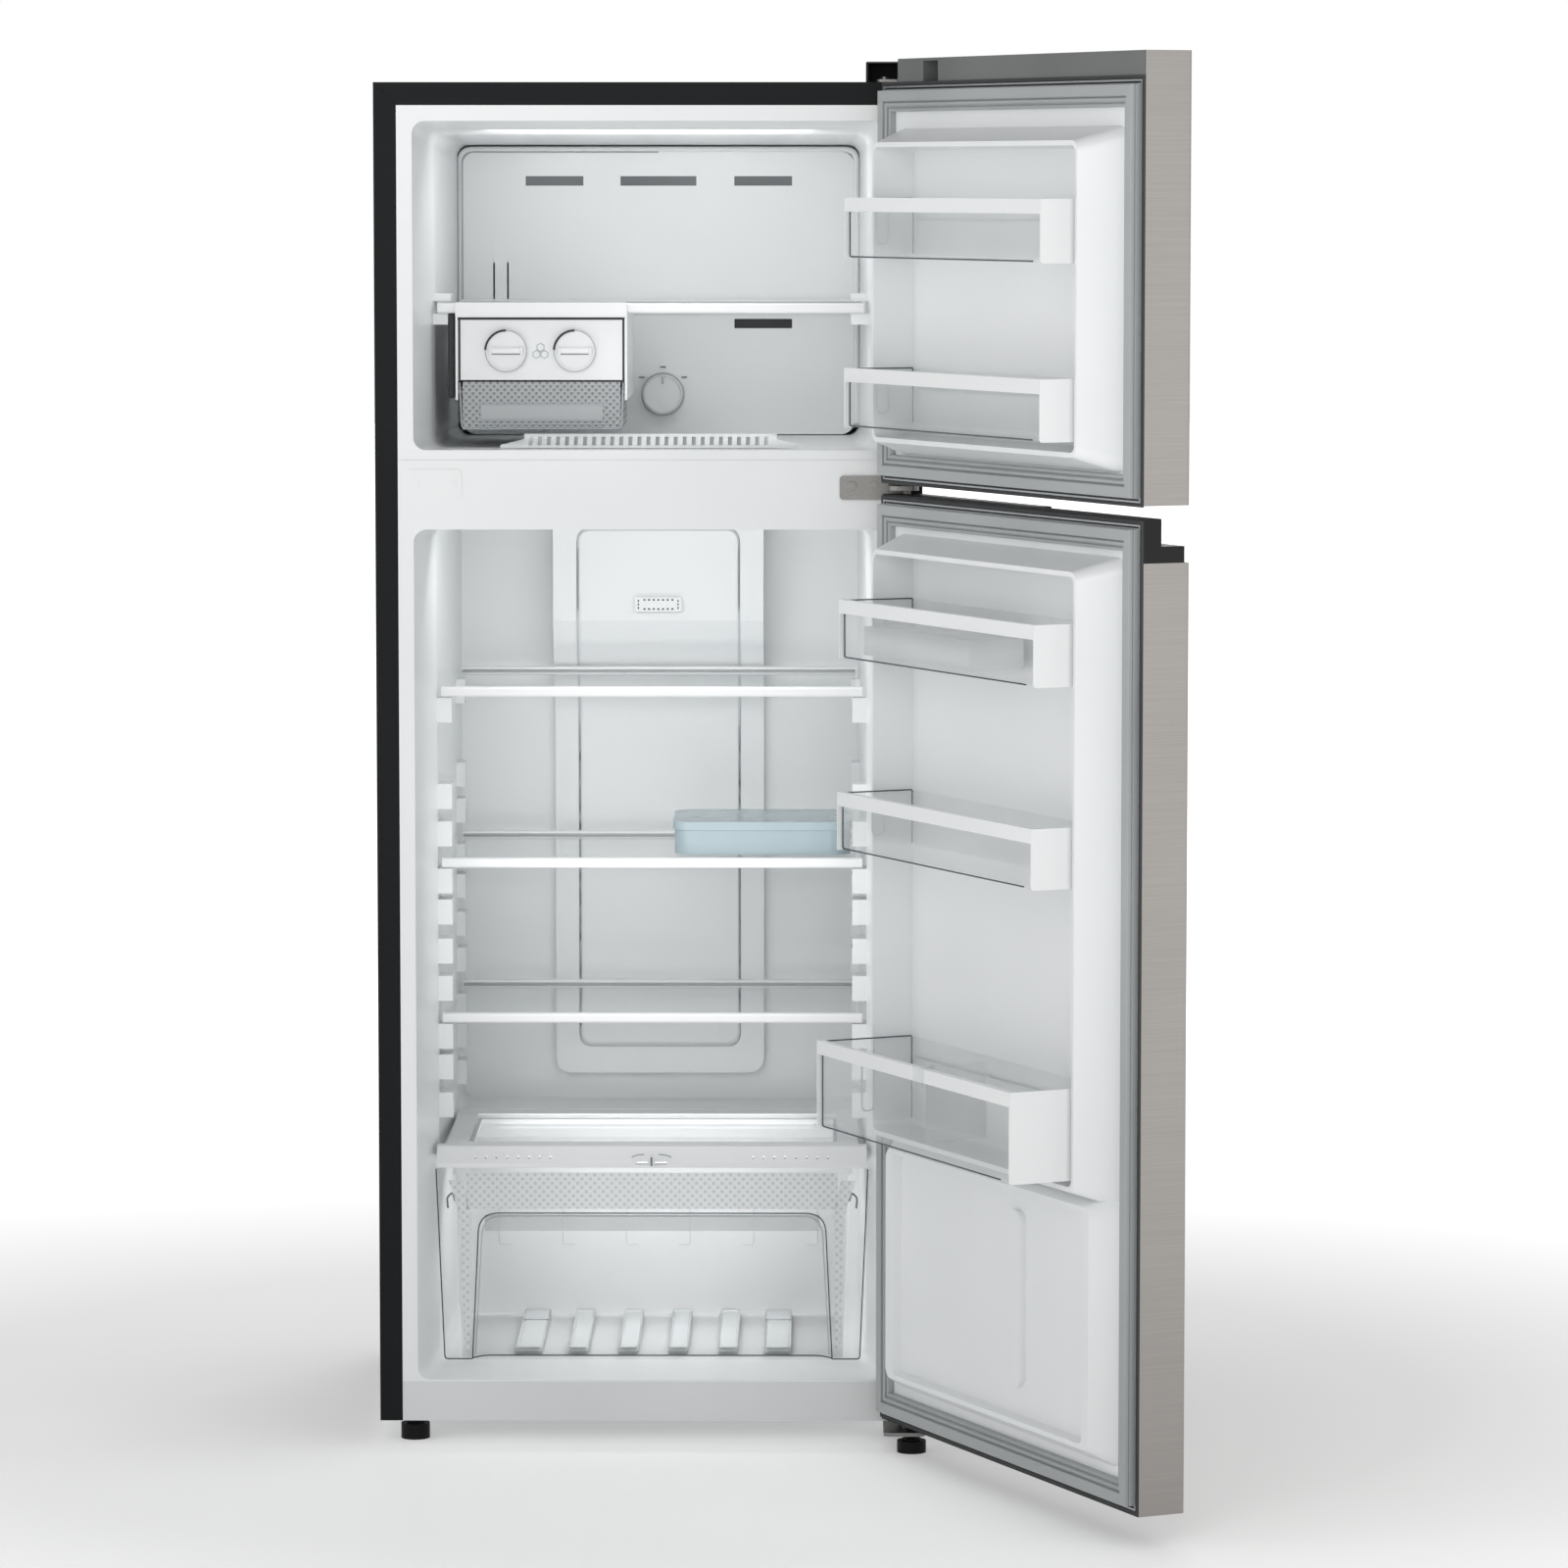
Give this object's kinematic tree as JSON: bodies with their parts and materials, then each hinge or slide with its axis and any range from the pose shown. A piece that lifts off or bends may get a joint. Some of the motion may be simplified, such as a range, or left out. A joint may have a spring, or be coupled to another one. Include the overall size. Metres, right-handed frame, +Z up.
{
  "type": "top freezer refrigerator",
  "caption": "Two-door refrigerator with a freezer above, glass shelves, a crisper drawer, door balconies and an ice maker, standing on feet with its doors open.",
  "frame": {"origin": "on the floor under the middle of the cabinet footprint", "axes": "+Z up, the doors face -Y, hinges on the +X side"},
  "size_m": [0.8615, 1.1591, 1.526],
  "materials": {
    "case_black": "satin black paint",
    "zinc_sheet": "galvanised sheet",
    "zinc_steel": "zinc plated",
    "base_paint": "light grey paint on the front lip",
    "foam": "rigid polyurethane foam",
    "liner_white": "smooth moulded",
    "trim_white": "smooth moulded",
    "tray_grey": "moulded",
    "aluminium": "bright fins",
    "motor_black": "moulded",
    "compressor_black": "satin black paint",
    "shelf_glass": "toughened glass",
    "clear_plastic": "clear",
    "clear_grey": "smoke tinted, diamond pattern",
    "clear_blue": "pale blue, translucent",
    "door_steel": "horizontal brushing",
    "cap_grey": "moulded",
    "cap_black": "moulded",
    "gasket_grey": "soft magnetic seal",
    "foot_black": "moulded"
  },
  "bodies": {
    "cabinet": {"air_duct_cover": "liner_white", "base_plate": "base_paint", "bottom_hinge": "zinc_steel", "compressor": "compressor_black", "compressor_plate": "zinc_sheet", "condenser": "case_black", "crisper_cover_frame": "trim_white", "drip_tray": "motor_black", "evaporator": "aluminium", "evaporator_cover": "liner_white", "fan_motor": "motor_black", "glass_shelves": "shelf_glass", "hinge_screws": "zinc_steel", "ice_maker_frame": "trim_white", "inner_liner": "liner_white", "insulation_foam": "foam", "middle_hinge": "zinc_steel", "mullion_cover": "liner_white", "outer_case": "case_black", "power_inlet": "motor_black", "rear_panel": "zinc_sheet", "return_air_grille": "liner_white", "sensor_cover": "liner_white", "shelf_trims": "trim_white", "top_hinge": "zinc_steel", "top_hinge_cover": "cap_black"},
    "evaporator_fan": {"evaporator_fan": "motor_black"},
    "ice_tray_left": {"ice_tray_left": "tray_grey", "ice_knob_left": "trim_white"},
    "ice_tray_right": {"ice_tray_right": "tray_grey", "ice_knob_right": "trim_white"},
    "ice_bucket": {"ice_bucket": "clear_grey"},
    "temperature_knob": {"temperature_knob": "trim_white"},
    "humidity_slider": {"humidity_slider": "trim_white"},
    "crisper_drawer": {"crisper_drawer": "clear_plastic"},
    "storage_box": {"storage_box": "clear_blue"},
    "foot_left": {"foot_left": "foot_black"},
    "foot_right": {"foot_right": "foot_black"},
    "rear_rollers": {"rear_rollers": "motor_black"},
    "freezer_door": {"freezer_door_skin": "door_steel", "freezer_door_caps": "cap_grey", "freezer_door_foam": "foam", "freezer_door_liner": "liner_white", "freezer_door_gasket": "gasket_grey"},
    "fridge_door": {"fridge_door_skin": "door_steel", "fridge_door_caps": "cap_black", "fridge_door_foam": "foam", "fridge_door_liner": "liner_white", "fridge_door_gasket": "gasket_grey"},
    "bottle_divider": {"bottle_divider": "clear_plastic"},
    "freezer_upper_balcony": {"freezer_upper_balcony_bin": "clear_plastic", "freezer_upper_balcony_rail": "trim_white"},
    "freezer_lower_balcony": {"freezer_lower_balcony_bin": "clear_plastic", "freezer_lower_balcony_rail": "trim_white"},
    "fridge_upper_balcony": {"fridge_upper_balcony_bin": "clear_plastic", "fridge_upper_balcony_rail": "trim_white"},
    "fridge_middle_balcony": {"fridge_middle_balcony_bin": "clear_plastic", "fridge_middle_balcony_rail": "trim_white"},
    "bottle_balcony": {"bottle_balcony_bin": "clear_plastic", "bottle_balcony_rail": "trim_white"}
  },
  "joints": [
    {"name": "freezer_door_hinge", "type": "hinge", "parent": "cabinet", "child": "freezer_door", "pos_m": [0.2825, -0.3307, 1.5], "axis": [0, 0, 1], "range_deg": [-115.6, 0]},
    {"name": "fridge_door_hinge", "type": "hinge", "parent": "cabinet", "child": "fridge_door", "pos_m": [0.2825, -0.3307, 0.5], "axis": [0, 0, 1], "range_deg": [-115.6, 0]},
    {"name": "freezer_upper_balcony_lift", "type": "slide", "parent": "freezer_door", "child": "freezer_upper_balcony", "axis": [0, 0, 1], "range_m": [0, 0.02]},
    {"name": "freezer_lower_balcony_lift", "type": "slide", "parent": "freezer_door", "child": "freezer_lower_balcony", "axis": [0, 0, 1], "range_m": [0, 0.02]},
    {"name": "fridge_upper_balcony_lift", "type": "slide", "parent": "fridge_door", "child": "fridge_upper_balcony", "axis": [0, 0, 1], "range_m": [0, 0.02]},
    {"name": "fridge_middle_balcony_lift", "type": "slide", "parent": "fridge_door", "child": "fridge_middle_balcony", "axis": [0, 0, 1], "range_m": [0, 0.02]},
    {"name": "bottle_balcony_lift", "type": "slide", "parent": "fridge_door", "child": "bottle_balcony", "axis": [0, 0, 1], "range_m": [0, 0.02]},
    {"name": "divider_slide", "type": "slide", "parent": "bottle_balcony", "child": "bottle_divider", "axis": [-0.4321, 0.9018, 0], "range_m": [-0.17, 0.2]},
    {"name": "drawer_slide", "type": "slide", "parent": "cabinet", "child": "crisper_drawer", "axis": [0, -1, 0], "range_m": [0, 0.25]},
    {"name": "storage_box_slide", "type": "slide", "parent": "cabinet", "child": "storage_box", "axis": [0, -1, 0], "range_m": [0, 0.12]},
    {"name": "humidity_slide", "type": "slide", "parent": "cabinet", "child": "humidity_slider", "axis": [1, 0, 0], "range_m": [-0.012, 0.012]},
    {"name": "ice_bucket_slide", "type": "slide", "parent": "cabinet", "child": "ice_bucket", "axis": [0, -1, 0], "range_m": [0, 0.2]},
    {"name": "ice_twist_left", "type": "hinge", "parent": "cabinet", "child": "ice_tray_left", "pos_m": [-0.16, -0.095, 1.207], "axis": [0, 1, 0], "range_deg": [0, 120], "stiffness_Nm_per_rad": 0.02},
    {"name": "ice_twist_right", "type": "hinge", "parent": "cabinet", "child": "ice_tray_right", "pos_m": [-0.084, -0.095, 1.207], "axis": [0, 1, 0], "range_deg": [0, 120], "stiffness_Nm_per_rad": 0.02},
    {"name": "temperature_turn", "type": "hinge", "parent": "cabinet", "child": "temperature_knob", "pos_m": [0.005, 0.145, 1.148], "axis": [0, 1, 0], "range_deg": [-60, 60]},
    {"name": "fan_spin", "type": "hinge", "parent": "cabinet", "child": "evaporator_fan", "pos_m": [0, 0.167, 1.376], "axis": [0, 1, 0], "continuous": true},
    {"name": "foot_left_screw", "type": "hinge", "parent": "cabinet", "child": "foot_left", "pos_m": [-0.2626, -0.268, 0.01], "axis": [0, 0, 1], "continuous": true},
    {"name": "foot_right_screw", "type": "hinge", "parent": "cabinet", "child": "foot_right", "pos_m": [0.289, -0.348, 0.01], "axis": [0, 0, 1], "continuous": true},
    {"name": "roller_spin", "type": "hinge", "parent": "cabinet", "child": "rear_rollers", "pos_m": [0, 0.245, 0.012], "axis": [1, 0, 0], "continuous": true}
  ]
}
